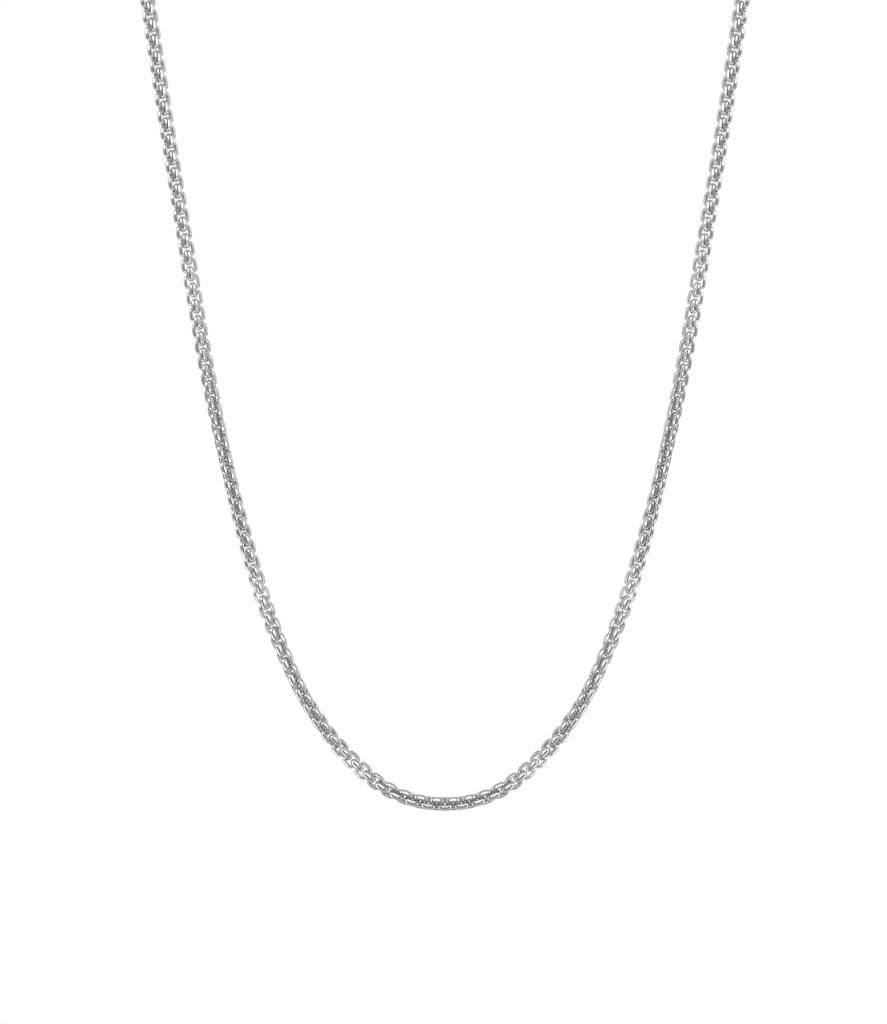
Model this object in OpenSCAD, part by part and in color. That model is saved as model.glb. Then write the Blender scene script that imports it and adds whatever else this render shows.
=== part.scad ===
// Round box chain necklace: short wide links of half-round strip, each turned a quarter
// from the last, in a closed loop that hangs from the nape of the neck.
// X is across, Y runs from the front of the wearer to the nape, Z is up. The origin is the
// middle of the clasp's inner face, where the chain rests on the nape.

/* [Link] */
// Width of a link across the chain
link_w = 2.6; // [2.5:0.05:2.8]
// Length of a link along the chain
link_l = 2.48; // [2.46:0.01:2.54]
// Width of the strip that a link is bent from
strip_w = 1.1; // [0.9:0.02:1.1]
// Thickness of the strip
strip_t = 0.46; // [0.42:0.01:0.46]
// Width that each side of the strip loses towards its outer face
strip_bevel = 0.28; // [0.2:0.02:0.36]
// Outer radius of a link's corners
corner_r = 0.78; // [0.74:0.02:0.8]
// Free space between the strips of two links that hook together
link_gap = 0.222; // [0.2:0.002:0.23]

/* [Chain] */
// Number of links in the front stretch, on each side of the lowest
front_links = 110; // [90:1:111]
// Number of those, from the lowest, that hang loosely
loose_links = 78; // [0:1:110]
// Part of their free space that the weight below takes up in each link above
taken_up = 0.029; // [0:0.001:0.03]
// Free space where the rear stretch starts and ends
stretch_gap = 0.15; // [0.1:0.05:0.3]
// Number of sides of the plain rear stretch
rear_sides = 8; // [8:1:12]

/* [Clasp] */
// Thickness of the clasp's body
clasp_t = 1.6; // [1.2:0.1:1.8]
// Radius of the hole that catches the clasp ring
catch_r = 1.3; // [1.2:0.05:1.5]
// Metal around that hole
catch_wall = 1.2; // [1:0.1:1.6]
// Radius of the eye that holds the tag ring
eye_r = 0.8; // [0.75:0.05:1]
// Metal around the eye
eye_wall = 0.8; // [0.7:0.05:1.1]
// Distance between the catch hole and the eye
clasp_span = 7.1; // [6.5:0.1:9]

/* [Rings] */
// Thickness of the two rings' wire
ring_wire = 0.5; // [0.4:0.05:0.55]
// Radius of the rings at the middle of the wire
ring_r = 1.7; // [1.6:0.05:2]
// Free space between a ring and what it holds
ring_gap = 0.15; // [0.1:0.01:0.2]

/* [Hidden] */
$fn = 32;

silver = [0.8, 0.8, 0.82];

// Half of the loop's centre line, measured from its lowest point, up one side and round to
// the nape
route = [
    [0, 0, 0], [5, 0, 0.6], [10, 0, 2.8], [15, 0, 7], [19.5, 0, 12.2], [24, 0, 19.6],
    [29, 0, 31.8], [33, 0, 45.2], [36.3, 0, 59], [39.3, 0, 74], [42.2, 0, 91.5],
    [45.1, 0, 109.5], [47.9, 0, 128], [49.8, 1, 141], [50, 6.5, 151], [48.5, 16.5, 158.5],
    [44, 29, 162], [36.5, 42, 163.5], [26, 53, 164], [13, 60, 164], [0, 62, 164],
];

// Turn of the links about the chain's own line: share of the front stretch, degrees
turns = [
    [0, 47], [0.04, 38], [0.06, 28], [0.08, 13], [0.11, -4], [0.135, -18], [0.16, -33],
    [0.2, -45], [0.25, -58], [0.3, -73], [0.34, -100], [0.37, -112], [0.42, -124],
    [0.48, -138], [0.54, -151], [0.58, -165], [0.65, -177], [0.7, -189], [0.75, -197],
    [0.8, -202], [1, -203],
];

// Steps that the centre line takes between two points of the route
span_steps = 16;
// Direction that the rear stretch never runs in, which squares its rings up
ring_guide = [1, 1, 0];
// Length of the rear stretch between two of its rings, in widths of the chain
ring_spacing = 2.5;

last = len(route) - 1;
seat = [0, route[last].y - clasp_t / 2, route[last].z];
nape = route[last] - seat;
pitch = link_l - 2 * strip_t - link_gap;
front_end = run_of(front_links);
half_hole = link_l / 2 - strip_t;

// Points of a smooth curve through the route, whose two ends carry on to the mirrored half
function flipped(p) = [-p.x, p.y, p.z];
function route_at(i) =
    (i < 0 ? flipped(route[-i]) : i > last ? flipped(route[2 * last - i]) : route[i]) - seat;
function blend(a, b, c, d, t) =
    (2 * b + (c - a) * t + (2 * a - 5 * b + 4 * c - d) * t * t + (3 * b - 3 * c + d - a) * t * t * t) / 2;
line = [
    for (i = [0 : last - 1], j = [0 : span_steps - 1])
        blend(route_at(i - 1), route_at(i), route_at(i + 1), route_at(i + 2), j / span_steps),
    nape,
];

// Distance along the curve of each of its points, and the place at any distance
end = len(line) - 1;
runs = [
    for (i = 0, run = 0; i <= end; i = i + 1, run = run + norm(line[min(i, end)] - line[i - 1]))
        run
];
line_x = [for (i = [0 : end]) [runs[i], line[i].x]];
line_y = [for (i = [0 : end]) [runs[i], line[i].y]];
line_z = [for (i = [0 : end]) [runs[i], line[i].z]];
function at(run) = [lookup(run, line_x), lookup(run, line_y), lookup(run, line_z)];
function unit(v) = v / norm(v);
function heading(run) = unit(at(run + pitch / 2) - at(run - pitch / 2));

// Distance along the curve of a link's middle
function run_of(k) = k * pitch + max(0, k - loose_links) * taken_up;

// A ring holds a wall of a half width: distance from the ring's centre to the wall's far face
ring_inner = ring_r - ring_wire / 2;
function held_at(half_width) = sqrt(ring_inner * ring_inner - half_width * half_width) - ring_gap;

// Half of the distance between the outer faces of the clasp's two holes
half_clasp = (clasp_span + catch_r + eye_r) / 2;
ring_x = half_clasp + held_at(clasp_t / 2);
end_reach = ring_x + held_at(strip_w / 2) + half_hole;
rear_start = front_end + link_l / 2 + stretch_gap;
end_heading = unit(at(runs[end] - end_reach) - [ring_x, nape.y, nape.z]);
end_link = [ring_x, nape.y, nape.z] + end_heading * (held_at(strip_w / 2) + half_hole);
rear_end = runs[end] - end_reach - link_l / 2 - stretch_gap;
rear_rings = ceil((rear_end - rear_start) / (ring_spacing * link_w));

// Section of the strip, with its outer face on the Y axis
module strip_section() {
    inner = strip_w / 2;
    outer = inner - strip_bevel;
    polygon([[-strip_t, -inner], [0, -outer], [0, outer], [-strip_t, inner]]);
}

module strip_bend() {
    rotate_extrude(angle = 90) translate([corner_r, 0]) strip_section();
}

module strip_straight(length) {
    rotate([90, 0, 0]) linear_extrude(length, center = true) strip_section();
}

// One link, in the XY plane, with the chain running along X
module link() {
    across = link_w / 2 - corner_r;
    along = link_l / 2 - corner_r;
    for (side = [0, 180]) rotate([0, 0, side]) {
        translate([along, across, 0]) strip_bend();
        translate([-along, across, 0]) rotate([0, 0, 90]) strip_bend();
        translate([link_l / 2, 0, 0]) strip_straight(2 * across);
        translate([0, link_w / 2, 0]) rotate([0, 0, 90]) strip_straight(2 * along);
    }
}

// Puts a link on the line at a place, heading the chain's way and turned about it: at no
// turn the link's two long sides lie front and rear
module placed(place, way, turn) {
    rise = atan2(way.z, way.x);
    lean = asin(way.y);
    translate(place) rotate([0, -rise, 0]) rotate([0, 0, lean]) rotate([turn, 0, 0]) children();
}

module both_sides() {
    children();
    mirror([1, 0, 0]) children();
}

// Rear stretch: a plain bar of many sides along the line, from one distance to another
module rear_bar(from, to) {
    step = (to - from) / rear_rings;
    points = [
        for (i = [0 : rear_rings])
            let (run = from + i * step, way = heading(run), u = unit(cross(way, ring_guide)), v = cross(way, u))
            for (j = [0 : rear_sides - 1])
                let (a = 360 * j / rear_sides)
                at(run) + link_w / 2 * (cos(a) * u + sin(a) * v)
    ];
    sides = [
        for (i = [0 : rear_rings - 1], j = [0 : rear_sides - 1])
            let (k = (j + 1) % rear_sides)
            [i * rear_sides + j, (i + 1) * rear_sides + j, (i + 1) * rear_sides + k, i * rear_sides + k]
    ];
    start_cap = [for (j = [0 : rear_sides - 1]) j];
    end_cap = [for (j = [rear_sides - 1 : -1 : 0]) rear_rings * rear_sides + j];
    polyhedron(points, concat([start_cap, end_cap], sides));
}

module ring() {
    rotate_extrude() translate([ring_r, 0]) circle(d = ring_wire);
}

module front_link(k) {
    run = run_of(k);
    turn = 90 * k + lookup(run / front_end, turns);
    placed((at(run + pitch / 2) + at(run - pitch / 2)) / 2, heading(run), turn) link();
}

module chain_front() {
    color(silver) {
        placed(route[0] - seat, [1, 0, 0], turns[0][1]) link();
        both_sides() for (k = [1 : front_links]) front_link(k);
    }
}

module chain_rear() {
    color(silver) both_sides() {
        rear_bar(rear_start, rear_end);
        placed(end_link, end_heading, 90) link();
    }
}

module clasp_outline() {
    waist = 0.92;
    eye_x = eye_r - half_clasp;
    big = catch_r + catch_wall;
    small = eye_r + eye_wall;
    difference() {
        union() {
            translate([eye_x, 0]) circle(r = small);
            translate([eye_x + clasp_span, 0]) circle(r = big);
            translate([eye_x, 0]) polygon([
                [0, -waist * small], [clasp_span, -waist * big], [clasp_span, waist * big], [0, waist * small],
            ]);
        }
        translate([eye_x, 0]) circle(r = eye_r);
        translate([eye_x + clasp_span, 0]) circle(r = catch_r);
    }
}

module clasp() {
    color(silver) translate(nape) rotate([90, 0, 0]) linear_extrude(clasp_t, center = true) clasp_outline();
}

module clasp_ring() {
    color(silver) translate([ring_x, nape.y, nape.z]) ring();
}

module tag_ring() {
    color(silver) translate([-ring_x, nape.y, nape.z]) ring();
}

chain_front();
chain_rear();
clasp();
clasp_ring();
tag_ring();
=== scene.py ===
# %% [markdown]
# # A round box chain necklace
#
# A box chain is one kind of link, repeated: a short piece of half-round strip, bent into a
# rounded square and closed. Each link is turned a quarter from the last and hooks through it.
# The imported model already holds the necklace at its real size, with plain links in front and
# a bare bar round the nape. This lesson dresses it: one well shaped link, set down hundreds
# of times along the same line, a clasp and its rings, and polished silver over all of it.

# %% Load the fixed frame
import math

import bmesh
import bpy
from mathutils import Matrix, Vector
from mathutils.geometry import interpolate_bezier


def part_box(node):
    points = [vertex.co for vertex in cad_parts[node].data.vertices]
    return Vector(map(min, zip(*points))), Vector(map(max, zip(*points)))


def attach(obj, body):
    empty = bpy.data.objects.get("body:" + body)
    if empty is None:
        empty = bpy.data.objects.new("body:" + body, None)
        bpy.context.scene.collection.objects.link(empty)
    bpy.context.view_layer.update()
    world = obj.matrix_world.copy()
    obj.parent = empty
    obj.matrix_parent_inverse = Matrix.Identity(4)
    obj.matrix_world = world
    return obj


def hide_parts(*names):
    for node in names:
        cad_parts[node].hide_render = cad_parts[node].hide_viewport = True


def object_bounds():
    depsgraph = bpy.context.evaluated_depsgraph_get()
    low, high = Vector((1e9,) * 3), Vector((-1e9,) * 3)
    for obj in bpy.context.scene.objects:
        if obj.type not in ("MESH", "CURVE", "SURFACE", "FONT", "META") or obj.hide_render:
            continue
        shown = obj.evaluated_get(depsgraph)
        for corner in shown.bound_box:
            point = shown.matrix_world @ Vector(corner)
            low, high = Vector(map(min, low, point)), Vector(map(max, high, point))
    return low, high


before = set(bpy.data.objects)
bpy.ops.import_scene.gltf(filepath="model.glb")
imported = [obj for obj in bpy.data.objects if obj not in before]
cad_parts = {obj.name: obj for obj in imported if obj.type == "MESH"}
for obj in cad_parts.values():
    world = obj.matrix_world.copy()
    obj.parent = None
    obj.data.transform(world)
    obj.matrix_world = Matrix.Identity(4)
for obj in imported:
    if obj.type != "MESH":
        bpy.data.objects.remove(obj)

MM = 0.001
cad_low, cad_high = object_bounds()
print("CAD nodes:", sorted(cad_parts), "box in mm:", (cad_high - cad_low) / MM)

# %% [markdown]
# ## The line that the chain follows
#
# The line could be drawn by hand as a curve object, but the links have to lie exactly where
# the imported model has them. So the few points that its line runs through are written here
# again, in millimetres from the lowest point, up one side and round to the nape. A smooth
# curve through points is the same thing as a row of Bezier pieces, whose handles lie a sixth
# of the way between each point's two neighbours. Blender works those pieces out.

# %% The line through its points
ROUTE = [
    (0, 0, 0), (5, 0, 0.6), (10, 0, 2.8), (15, 0, 7), (19.5, 0, 12.2), (24, 0, 19.6),
    (29, 0, 31.8), (33, 0, 45.2), (36.3, 0, 59), (39.3, 0, 74), (42.2, 0, 91.5),
    (45.1, 0, 109.5), (47.9, 0, 128), (49.8, 1, 141), (50, 6.5, 151), (48.5, 16.5, 158.5),
    (44, 29, 162), (36.5, 42, 163.5), (26, 53, 164), (13, 60, 164), (0, 62, 164),
]
SEAT = Vector((0, 61.2, 164))
SPAN_STEPS = 16


def mirrored(point):
    """The same point on the left half."""
    return Vector((-point[0], point[1], point[2]))


def smooth_line(route, seat):
    """Points of the smooth curve through the route, measured from the seat."""
    knots = [mirrored(route[1])] + [Vector(point) for point in route] + [mirrored(route[-2])]
    knots = [knot - seat for knot in knots]
    points = [knots[1]]
    for before, start, stop, after in zip(knots, knots[1:], knots[2:], knots[3:]):
        leave = start + (stop - before) / 6
        arrive = stop - (after - start) / 6
        points += interpolate_bezier(start, leave, arrive, stop, SPAN_STEPS + 1)[1:]
    return points


line = smooth_line(ROUTE, SEAT)
runs = [0.0]
for start, stop in zip(line, line[1:]):
    runs.append(runs[-1] + (stop - start).length)
print("half of the loop:", round(runs[-1], 2), "mm, whole loop:", round(2 * runs[-1], 1), "mm")


def at(run):
    """The place on the line at a distance along it."""
    if run < 0:
        return mirrored(at(-run))
    step = next(i for i, reached in enumerate(runs[1:]) if reached >= run or i == len(runs) - 2)
    share = (run - runs[step]) / (runs[step + 1] - runs[step])
    return line[step].lerp(line[step + 1], share)


# %% [markdown]
# ## One link
#
# The strip is half round: flat inside the link, where it bears on its neighbours, and domed
# outside. A curve with a bevel profile would sweep it too, but a bmesh keeps the number of
# faces low and in our hands, which matters for a shape that is set down 367 times. Only a
# quarter is built. Its outline starts at the middle of one end, is extruded to the corner,
# spun through 90 degrees and extruded to the middle of a side. Two mirrors close the link.
#
# Subdivision will round this cage off, and that pulls every arc inwards by a known share, so
# the radii of the dome are drawn that much larger. The strip's two sharp edges are creased.
# Every vertex keeps a `dome` number: 1 over the outer half of the strip, 0 on its flat inside.

# %% One link as a cage, in millimetres
LINK_LENGTH = 2.58
LINK_WIDTH = 2.66
STRIP_WIDTH = 1.24
STRIP_THICKNESS = 0.55
CORNER_RADIUS = 0.72
CORNER_STEPS = 2
DOME_STEPS = 4
EDGE_CREASE = 1.0
TOUCHING = 1e-5


def cage_radius(radius, step):
    """Radius of a cage whose steps round an arc smooth down to the wanted radius."""
    return radius * 3 / (2 + math.cos(step))


def dome_outline(width, thickness, steps):
    """Points across the strip: (depth below the crown, distance from the middle)."""
    radius = (thickness ** 2 + (width / 2) ** 2) / (2 * thickness)
    reach = math.atan2(width / 2, radius - thickness)
    step = 2 * reach / steps
    cage = cage_radius(radius, step)
    outline = []
    for i in range(steps + 1):
        angle = -reach + i * step
        swell = cage if 0 < i < steps else radius
        outline.append((radius - swell * math.cos(angle), swell * math.sin(angle)))
    return outline


def extruded(bm, edges, move):
    """Pulls a ring of edges out by a move and gives back the new ring."""
    pulled = bmesh.ops.extrude_edge_only(bm, edges=edges)["geom"]
    bmesh.ops.translate(bm, verts=[g for g in pulled if isinstance(g, bmesh.types.BMVert)], vec=move)
    return [g for g in pulled if isinstance(g, bmesh.types.BMEdge)]


def spun(bm, edges, centre, angle, steps):
    """Turns a ring of edges about an upright axis and gives back the new ring."""
    ends = {vert for edge in edges for vert in edge.verts}
    turned = bmesh.ops.spin(
        bm, geom=list(ends) + edges, cent=centre, axis=(0, 0, 1), angle=angle, steps=steps,
        use_duplicate=False,
    )["geom_last"]
    return [g for g in turned if isinstance(g, bmesh.types.BMEdge)]


def on_plane(edge, axis, distance=0):
    """Whether both ends of an edge lie at a distance from the middle, on either side."""
    return all(abs(abs(vert.co[axis]) - distance) < TOUCHING for vert in edge.verts)


def link_bmesh():
    """One link in the XY plane, with the chain running along X, in metres."""
    bm = bmesh.new()
    dome = bm.verts.layers.float.new("dome")
    crease = bm.edges.layers.float.new("crease_edge")
    outline = dome_outline(STRIP_WIDTH, STRIP_THICKNESS, DOME_STEPS)
    verts = [bm.verts.new((LINK_LENGTH / 2 - depth, 0, side)) for depth, side in outline]
    for vert, (depth, side) in zip(verts, outline):
        vert[dome] = min(1, 2 - 2 * depth / STRIP_THICKNESS)
    ring = [bm.edges.new((a, b)) for a, b in zip(verts, verts[1:] + verts[:1])]
    across = LINK_WIDTH / 2 - CORNER_RADIUS
    along = LINK_LENGTH / 2 - CORNER_RADIUS
    ring = extruded(bm, ring, (0, across, 0))
    ring = spun(bm, ring, (along, across, 0), math.pi / 2, CORNER_STEPS)
    extruded(bm, ring, (-along, 0, 0))
    for axis in "XY":
        everything = bm.verts[:] + bm.edges[:] + bm.faces[:]
        bmesh.ops.mirror(bm, geom=everything, axis=axis, merge_dist=TOUCHING)
    seams = [edge for edge in bm.edges if on_plane(edge, 0) or on_plane(edge, 1)]
    bmesh.ops.dissolve_edges(bm, edges=seams, use_verts=True)
    bmesh.ops.recalc_face_normals(bm, faces=bm.faces[:])
    for edge in bm.edges:
        if on_plane(edge, 2, STRIP_WIDTH / 2):
            edge[crease] = EDGE_CREASE
    for face in bm.faces:
        face.smooth = True
    bmesh.ops.scale(bm, vec=(MM, MM, MM), verts=bm.verts[:])
    return bm


link = link_bmesh()
link_mesh = bpy.data.meshes.new("one_link")
link.to_mesh(link_mesh)
volume = link.calc_volume() / MM ** 3
print("one link:", len(link.faces), "faces in its cage, volume", round(volume, 2), "mm3")
link.free()

# %% [markdown]
# ## Where each link lies
#
# A link is placed by a matrix: first its turn about the chain, then the chain's own heading,
# then its place. In front, the turn is a quarter for each link plus the slow twist of the
# whole strand, which a short table gives as shares of the front stretch and degrees. Round
# the nape there is no table. There the frame of one link is carried to the next by the
# smallest turn between their headings, and what is left over at the last link is shared out
# evenly, which is how a real chain would lie.

# %% Places of the front links
PITCH = 1.338
FRONT_LINKS = 110
LOOSE_LINKS = 78
TAKEN_UP = 0.029
TURNS = [
    (0, 47), (0.04, 38), (0.06, 28), (0.08, 13), (0.11, -4), (0.135, -18), (0.16, -33),
    (0.2, -45), (0.25, -58), (0.3, -73), (0.34, -100), (0.37, -112), (0.42, -124),
    (0.48, -138), (0.54, -151), (0.58, -165), (0.65, -177), (0.7, -189), (0.75, -197),
    (0.8, -202), (1, -203),
]


def run_of(k):
    """Distance along the line of a link's middle. The upper links hang pulled straight."""
    return k * PITCH + max(0, k - LOOSE_LINKS) * TAKEN_UP


front_end = run_of(FRONT_LINKS)


def twist_at(share):
    """The strand's own twist in degrees, at a share of the front stretch."""
    for (low, low_twist), (high, high_twist) in zip(TURNS, TURNS[1:]):
        if share <= high:
            return low_twist + (high_twist - low_twist) * (share - low) / (high - low)
    return TURNS[-1][1]


def placed(place, way, turn):
    """Matrix in metres that sets a link down, heading a way and turned about it in degrees."""
    rise = math.atan2(way.z, way.x)
    lean = math.asin(way.y)
    return (
        Matrix.Translation(place * MM)
        @ Matrix.Rotation(-rise, 4, "Y")
        @ Matrix.Rotation(lean, 4, "Z")
        @ Matrix.Rotation(math.radians(turn), 4, "X")
    )


def front_place(k):
    """Matrix of a front link on the right half, counted from the lowest."""
    run = run_of(k)
    before, after = at(run - PITCH / 2), at(run + PITCH / 2)
    turn = 90 * k + twist_at(run / front_end)
    return placed((before + after) / 2, (after - before).normalized(), turn)


def other_side(place):
    """The same place on the left half. A link is its own mirror image, so it only moves."""
    flip = Matrix.Scale(-1, 4, (1, 0, 0))
    return flip @ place @ flip


lowest_place = placed(at(0), Vector((1, 0, 0)), TURNS[0][1])
right_places = [front_place(k) for k in range(1, FRONT_LINKS + 1)]
print("front links:", 1 + 2 * len(right_places))

# %% Places of the rear links
RING_TO_LINK = 1.97
ring_low, ring_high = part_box("clasp_ring")
ring_centre = (ring_low + ring_high) / 2 / MM


def rear_places():
    """Links from the last front one to the one in the clasp's ring, on the right half."""
    last_way = (at(runs[-1] - ring_centre.x - RING_TO_LINK) - ring_centre).normalized()
    last_centre = ring_centre + last_way * RING_TO_LINK
    first_run = front_end + PITCH
    last_run = runs[-1] - (last_centre - line[-1]).length
    count = 2 * round((last_run - first_run) / PITCH / 2)
    centres = [at(first_run + (last_run - first_run) * i / count) for i in range(count)]
    centres.append(last_centre)
    ways = []
    for i in range(count):
        middle = first_run + PITCH * i
        ways.append((at(middle + PITCH) - at(middle - PITCH)).normalized())
    # The last link heads halfway between the chain's way and the ring's middle
    ways.append((ways[-1] - last_way).normalized())
    carried = right_places[-1].to_quaternion()
    turned = []
    for way in ways:
        heading = carried @ Vector((1, 0, 0))
        carried = heading.rotation_difference(way) @ carried
        turned.append(carried)
    upright = carried.inverted() @ Vector((0, 0, 1))
    spare = math.degrees(math.atan2(upright.z, upright.y)) - 90 * (count + 1)
    # A link looks the same after half a turn, so at most a quarter is left to share out
    spare = (spare + 90) % 180 - 90
    places = []
    for i, (centre, turn) in enumerate(zip(centres, turned)):
        roll = Matrix.Rotation(math.radians((i + 1) * (90 + spare / (count + 1))), 4, "X")
        places.append(Matrix.Translation(centre * MM) @ turn.to_matrix().to_4x4() @ roll)
    print("rear links on each side:", len(places), "spare turn", round(spare, 1), "degrees")
    return places


right_rear = rear_places()
rear_places_all = right_rear + [other_side(place) for place in right_rear]

# %% [markdown]
# ## The chain
#
# Each piece of chain is one mesh: the link's cage is poured in once for each place, moved
# there, and the whole is rounded off by one level of subdivision. Two pieces stand for the
# front node, one for each strand, so that each strand can have a studio window of its own.
# A third piece stands for the rear node.

# %% Pour the links into three meshes
SUBDIVISION_LEVELS = 1


def chain_piece(name, places):
    """One mesh of many links, rounded off, that rides with the body."""
    bm = bmesh.new()
    for place in places:
        bm.from_mesh(link_mesh)
        bmesh.ops.transform(bm, matrix=place, verts=bm.verts[-len(link_mesh.vertices):])
    mesh = bpy.data.meshes.new(name)
    bm.to_mesh(mesh)
    bm.free()
    piece = bpy.data.objects.new(name, mesh)
    bpy.context.scene.collection.objects.link(piece)
    rounding = piece.modifiers.new("rounding", "SUBSURF")
    rounding.levels = SUBDIVISION_LEVELS
    rounding.render_levels = SUBDIVISION_LEVELS
    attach(piece, "root")
    print(name, len(places), "links,", len(mesh.polygons), "faces before subdivision")
    return piece


right_front = chain_piece("right_front_links", [lowest_place] + right_places)
left_front = chain_piece("left_front_links", [other_side(place) for place in right_places])
rear_chain = chain_piece("rear_links", rear_places_all)
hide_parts("chain_front")
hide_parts("chain_front")
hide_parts("chain_rear")

# %% [markdown]
# ## The clasp
#
# The clasp is a plain plate with two eyes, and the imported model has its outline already. A
# real one is tumbled until no edge is sharp. So a copy of its mesh is merged, its flat faces
# are joined up, and the edges all round both faces are bevelled.

# %% Round the clasp's edges off
CLASP_ROUNDING = 0.3 * MM
CLASP_ROUNDING_STEPS = 3
SAME_POINT = 1e-7
FLAT_ANGLE = math.radians(1)
SHARP_ANGLE = math.radians(60)


def clasp_body():
    """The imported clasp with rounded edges."""
    bm = bmesh.new()
    bm.from_mesh(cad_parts["clasp"].data)
    bmesh.ops.remove_doubles(bm, verts=bm.verts[:], dist=SAME_POINT)
    bmesh.ops.dissolve_limit(bm, angle_limit=FLAT_ANGLE, verts=bm.verts[:], edges=bm.edges[:])
    sharp = [edge for edge in bm.edges if edge.is_manifold and edge.calc_face_angle() > SHARP_ANGLE]
    bmesh.ops.bevel(
        bm, geom=sharp, offset=CLASP_ROUNDING, segments=CLASP_ROUNDING_STEPS, profile=0.5,
        affect="EDGES", material=-1,
    )
    for face in bm.faces:
        face.smooth = True
    mesh = bpy.data.meshes.new("clasp_body")
    bm.to_mesh(mesh)
    bm.free()
    piece = bpy.data.objects.new("clasp_body", mesh)
    bpy.context.scene.collection.objects.link(piece)
    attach(piece, "root")
    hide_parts("clasp")
    print("clasp:", len(sharp), "edges rounded,", len(mesh.polygons), "faces")
    return piece


clasp = clasp_body()

# %% [markdown]
# ## Shader maths in Python
#
# Materials are node trees, but a formula is easier to read as a formula. `Socket` wraps a
# node's output so that Python's own operators add the Math nodes, and `Tree.node` adds any
# other node: its type, its settings and what goes into its sockets.

# %% Two small classes for node trees


class Socket:
    """A number that comes out of a node."""

    def __init__(self, tree, output):
        self.tree = tree
        self.output = output

    def math(self, operation, first, second):
        """Adds a Math node."""
        return self.tree.node("ShaderNodeMath", {"operation": operation}, {0: first, 1: second})

    def __add__(self, other):
        return self.math("ADD", self, other)

    def __sub__(self, other):
        return self.math("SUBTRACT", self, other)

    def __mul__(self, other):
        return self.math("MULTIPLY", self, other)

    def __rsub__(self, other):
        return self.math("SUBTRACT", other, self)

    __radd__ = __add__
    __rmul__ = __mul__


class Tree:
    """A node tree that grows by calls."""

    def __init__(self, owner):
        owner.use_nodes = True
        self.tree = owner.node_tree
        self.tree.nodes.clear()

    def node(self, kind, settings=None, inputs=None, output=0):
        """Adds a node and gives back one of its outputs."""
        made = self.tree.nodes.new(kind)
        for name, value in (settings or {}).items():
            if name == "stops":
                ramp = made.color_ramp
                while len(ramp.elements) < len(value):
                    ramp.elements.new(1)
                for element, (position, grey) in zip(ramp.elements, value):
                    element.position = position
                    element.color = (grey, grey, grey, 1)
            else:
                setattr(made, name, value)
        for name, value in (inputs or {}).items():
            if isinstance(value, Socket):
                self.tree.links.new(value.output, made.inputs[name])
            else:
                made.inputs[name].default_value = value
        return Socket(self, made.outputs[output]) if len(made.outputs) else made


# %% [markdown]
# ## Polished silver
#
# Polished silver is nearly a mirror: full metal, very light and without a tint of its own,
# with a low roughness. What keeps it from looking like glass is the fine haze and the hair
# scratches that handling leaves. The flat inside of a link is given a higher roughness and a
# darker colour, and the darker colour is painted shade where the links lie in each other.
# The `dome` number on the link's vertices says how far out a point lies.

# %% The silver material
SILVER = (0.93, 0.93, 0.93, 1)
# Colour of the link's flat inside: darker as painted shade, where the links lie in each other
PAINTED_SHADE_SILVER = (0.64, 0.64, 0.64, 1)
POLISHED_ROUGHNESS = 0.04
DULL_ROUGHNESS = 0.15
HAZE_SIZE = 0.8 * MM
HAZE_DETAIL = 2.0
HAZE_DEPTH = 0.04
SCRATCH_SIZE = 0.09 * MM
SCRATCH_DETAIL = 3.0
SCRATCH_DEPTH = 0.004 * MM
SCRATCH_STRENGTH = 0.12


def silver_material(name, has_dome):
    """Polished silver with a rougher inside, whose darker colour is painted shade, placed where the mesh
    says how far out a point lies.
    """
    material = bpy.data.materials.new(name)
    tree = Tree(material)
    place = tree.node("ShaderNodeTexCoord", output="Object")
    haze = tree.node(
        "ShaderNodeTexNoise", {}, {"Vector": place, "Scale": 1 / HAZE_SIZE, "Detail": HAZE_DETAIL}
    )
    scratch = tree.node(
        "ShaderNodeTexNoise", {}, {"Vector": place, "Scale": 1 / SCRATCH_SIZE, "Detail": SCRATCH_DETAIL}
    )
    colour = SILVER
    roughness = haze * HAZE_DEPTH + (POLISHED_ROUGHNESS - HAZE_DEPTH / 2)
    if has_dome:
        # Towards the flat inside the roughness rises, and the colour darkens as painted shade between
        # the links
        inside_shade_and_dullness = 1 - tree.node("ShaderNodeAttribute", {"attribute_name": "dome"}, output="Fac")
        colour = tree.node(
            "ShaderNodeMix", {"data_type": "RGBA"}, {0: inside_shade_and_dullness, 6: SILVER, 7: PAINTED_SHADE_SILVER}, output=2
        )
        roughness = roughness + inside_shade_and_dullness * (DULL_ROUGHNESS - POLISHED_ROUGHNESS)
    normal = tree.node(
        "ShaderNodeBump",
        {},
        {"Height": scratch, "Strength": SCRATCH_STRENGTH, "Distance": SCRATCH_DEPTH},
    )
    surface = tree.node(
        "ShaderNodeBsdfPrincipled",
        {},
        {"Base Color": colour, "Metallic": 1.0, "Roughness": roughness, "Normal": normal},
    )
    tree.node("ShaderNodeOutputMaterial", {}, {"Surface": surface})
    return material


link_silver = silver_material("link_silver", True)
plain_silver = silver_material("plain_silver", False)
for piece in (right_front, left_front, rear_chain):
    piece.data.materials.append(link_silver)
clasp.data.materials.append(plain_silver)
for name in ("clasp_ring", "tag_ring"):
    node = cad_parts[name]
    node.data.materials.clear()
    node.data.materials.append(plain_silver)
    for face in node.data.polygons:
        face.use_smooth = True
print("materials:", [material.name for material in (link_silver, plain_silver)])

# %% [markdown]
# ## The studio
#
# A mirror shows its room, so the look of silver is the look of the room. A catalogue shot has
# a white backdrop behind the piece and a dim room around it, with soft windows where the
# maker wants a highlight. The room is a gradient on the world: one ramp runs from the front
# to the back, another from the floor to the ceiling, and the camera alone sees plain white.
# The floor is a light table under the necklace, below the picture.

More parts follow.
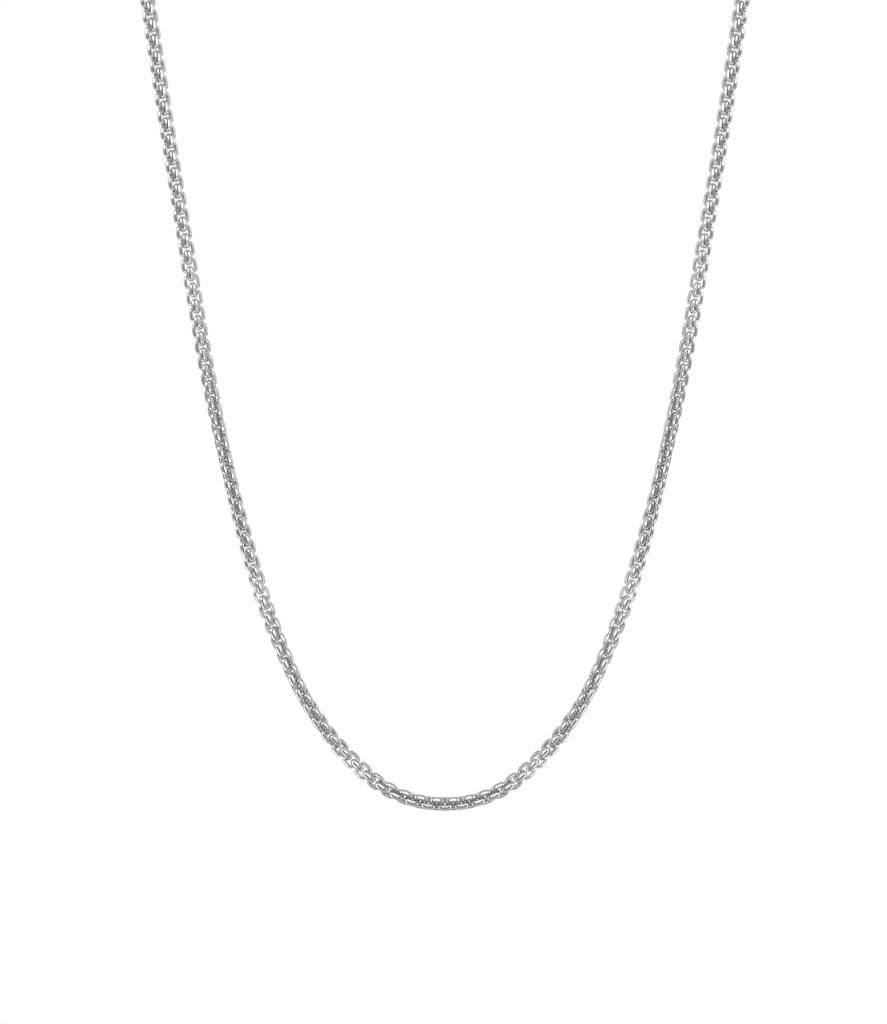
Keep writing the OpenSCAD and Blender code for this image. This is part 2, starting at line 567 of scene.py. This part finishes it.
# %% World and floor
BACK_STOPS = [(0.0, 0.15), (0.12, 0.26), (0.33, 0.46), (0.5, 0.48), (0.82, 0.55), (1.0, 0.53)]
HEIGHT_STOPS = [
    (0.0, 0.46), (0.12, 0.5), (0.22, 0.34), (0.42, 0.36), (0.52, 0.6), (0.7, 0.62), (0.88, 0.42),
    (1.0, 0.3),
]
WHITE = (1, 1, 1, 1)
ROOM_STRENGTH = 2.04
FLOOR_GAP = 0.04
FLOOR_SIZE = 0.6


def studio_world():
    """A dim room for the silver to mirror, and plain white for the camera."""
    world = bpy.data.worlds.new("studio")
    bpy.context.scene.world = world
    tree = Tree(world)
    # Each part of a direction runs from -1 to 1, and a ramp from 0 to 1
    way = tree.node("ShaderNodeTexCoord", output="Generated")
    back = tree.node("ShaderNodeSeparateXYZ", {}, {0: way}, output="Y")
    up = tree.node("ShaderNodeSeparateXYZ", {}, {0: way}, output="Z")
    depth = tree.node("ShaderNodeValToRGB", {"stops": BACK_STOPS}, {0: back * 0.5 + 0.5})
    height = tree.node("ShaderNodeValToRGB", {"stops": HEIGHT_STOPS}, {0: up * 0.5 + 0.5})
    seen = tree.node("ShaderNodeLightPath", output="Is Camera Ray")
    glow = depth * height * ROOM_STRENGTH
    room = tree.node("ShaderNodeBackground", {}, {"Strength": glow, "Color": WHITE})
    white = tree.node("ShaderNodeBackground", {}, {"Strength": 1.0, "Color": WHITE})
    both = tree.node("ShaderNodeMixShader", {}, {0: seen, 1: room, 2: white})
    tree.node("ShaderNodeOutputWorld", {}, {"Surface": both})


def light_table():
    """A white floor that only the camera sees."""
    bm = bmesh.new()
    bmesh.ops.create_grid(bm, x_segments=1, y_segments=1, size=FLOOR_SIZE)
    bmesh.ops.translate(bm, verts=bm.verts[:], vec=(0, 0, cad_low.z - FLOOR_GAP))
    mesh = bpy.data.meshes.new("light_table")
    bm.to_mesh(mesh)
    bm.free()
    floor = bpy.data.objects.new("light_table", mesh)
    bpy.context.scene.collection.objects.link(floor)
    material = bpy.data.materials.new("light_table")
    tree = Tree(material)
    glow = tree.node("ShaderNodeEmission", {}, {"Color": WHITE, "Strength": 1.0})
    tree.node("ShaderNodeOutputMaterial", {}, {"Surface": glow})
    mesh.materials.append(material)
    floor.visible_glossy = False
    floor.visible_diffuse = False


studio_world()
light_table()
print("room of", len(BACK_STOPS), "by", len(HEIGHT_STOPS), "stops")
print("floor", FLOOR_GAP, "m under the chain")

# %% [markdown]
# ## The windows
#
# The windows are area lights that the camera doesn't see. Small ones close in front of the
# chain give the upper links their white bands and the lowest ones theirs, a weaker long one
# fills the stretch between, and two on the table whiten the undersides of the curve. A large
# window stands at each side. Light linking lets it shine on its own strand only, so that
# each strand is bright on its outer side, dark in front, and mirrors the other.

# %% Soft windows in front, below and at the sides
FRONT_Y = cad_low.y
MIDDLE = Vector((0, FRONT_Y, (cad_low.z + cad_high.z) / 2))
# Name, place, target, size in metres, radiance
FRONT_WINDOWS = [
    ("low_window", (0, FRONT_Y - 0.11, -0.12), (0, 0, -0.12), (0.08, 0.16), 0.5),
    ("high_window", (0, FRONT_Y - 0.04, -0.034), (0, 0, -0.034), (0.066, 0.054), 1.2),
    ("curve_window", (0, FRONT_Y - 0.07, -0.115), (0, 0, -0.16), (0.07, 0.03), 1.2),
]
# The windows on the right, which those on the left mirror
TABLE_PLACE = (0.115, FRONT_Y - 0.01, -0.205)
TABLE_TARGET = (0.03, FRONT_Y, -0.13)
TABLE_SIZE = (0.08, 0.1)
TABLE_RADIANCE = 0.8
SIDE_PLACE = MIDDLE + Vector((0.43, -0.2, 0.155))
SIDE_SIZE = (0.5, 0.25)
SIDE_RADIANCE = 1.0


def soft_window(name, place, target, size, radiance, lit=()):
    """A soft window that shines at a target, on all pieces or on some."""
    light = bpy.data.lights.new(name, "AREA")
    light.shape = "RECTANGLE"
    light.size, light.size_y = size
    light.energy = radiance * math.pi * size[0] * size[1]
    lamp = bpy.data.objects.new(name, light)
    lamp.location = place
    lamp.rotation_euler = (Vector(target) - Vector(place)).to_track_quat("-Z", "Y").to_euler()
    lamp.visible_camera = False
    bpy.context.scene.collection.objects.link(lamp)
    if lit:
        lamp.light_linking.receiver_collection = bpy.data.collections.new(name + "_pieces")
        for piece in lit:
            lamp.light_linking.receiver_collection.objects.link(piece)
    print(name, "strength", round(light.energy, 5))


for window in FRONT_WINDOWS:
    soft_window(*window)
rear_pieces = (rear_chain, clasp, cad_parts["clasp_ring"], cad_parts["tag_ring"])
for word, placing, strand in (("right", Vector, right_front), ("left", mirrored, left_front)):
    soft_window(word + "_table", placing(TABLE_PLACE), placing(TABLE_TARGET), TABLE_SIZE, TABLE_RADIANCE)
    lit = (strand, *rear_pieces)
    soft_window(word + "_window", placing(SIDE_PLACE), MIDDLE, SIDE_SIZE, SIDE_RADIANCE, lit)

# %% [markdown]
# ## The camera
#
# The photograph looks at the strand straight on from far away. A long lens a metre away does
# the same and still lets the other views move in perspective. The picture is 887 by 1024
# pixels, at 6.15 pixels for each millimetre of chain.

# %% The camera at the photograph's place
PICTURE_WIDTH, PICTURE_HEIGHT = 887, 1024
PIXELS_PER_MM = 6.15
LOWEST_PIXEL = (444.4, 803.4)
LENS = 200
FAR_LIMIT = 10
camera_data = bpy.data.cameras.new("camera")
camera_data.lens = LENS
camera = bpy.data.objects.new("camera", camera_data)
bpy.context.scene.collection.objects.link(camera)
plane_y = -SEAT.y
away = LENS * (PICTURE_HEIGHT / PIXELS_PER_MM) / camera_data.sensor_width
camera.location = Vector((
    ((PICTURE_WIDTH - 1) / 2 - LOWEST_PIXEL[0]) / PIXELS_PER_MM,
    plane_y - away,
    -SEAT.z + (LOWEST_PIXEL[1] - (PICTURE_HEIGHT - 1) / 2) / PIXELS_PER_MM,
)) * MM
camera.rotation_euler = (math.radians(90), 0, 0)
camera_data.clip_end = FAR_LIMIT
bpy.context.scene.camera = camera
bpy.context.scene.view_settings.view_transform = "Standard"
print("camera", round(away), "mm from the chain")
